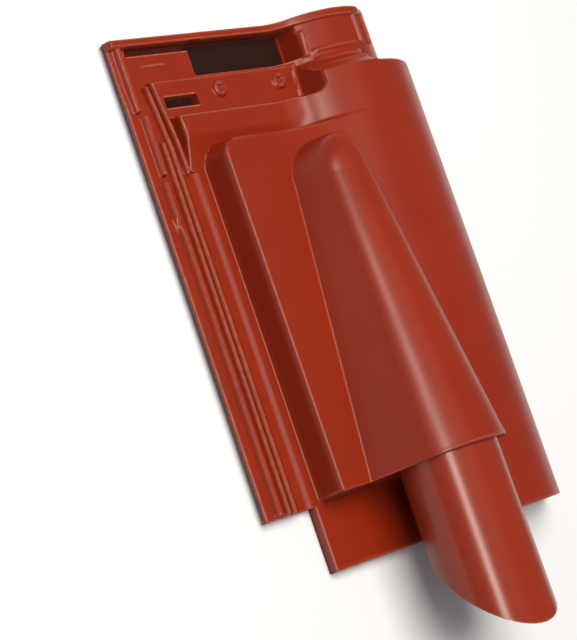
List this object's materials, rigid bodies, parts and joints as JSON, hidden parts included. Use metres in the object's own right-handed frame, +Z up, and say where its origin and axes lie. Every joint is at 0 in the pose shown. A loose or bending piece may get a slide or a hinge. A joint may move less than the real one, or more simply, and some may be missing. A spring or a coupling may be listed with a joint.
{
  "type": "roof vent tile",
  "caption": "Interlocking roof tile moulded with a tapered hood and a slant-cut outlet tube, which lets air out through a pitched roof.",
  "frame": {"origin": "on the surface that the tile lies on, under the middle of the whole object's box", "axes": "+Y up the slope from the outlet to the head, +Z up out of the tile, +X from the interlock to the roll"},
  "size_m": [0.2989, 0.514, 0.106],
  "materials": {
    "tile_plastic": "terracotta red moulded plastic, satin",
    "tube_plastic": "terracotta red extruded plastic, smooth and glossier",
    "lip_plastic": "terracotta red moulded plastic, satin"
  },
  "bodies": {
    "root": {"vent_tile": "tile_plastic", "outlet_tube": "tube_plastic", "outlet_lip": "lip_plastic"}
  },
  "joints": []
}
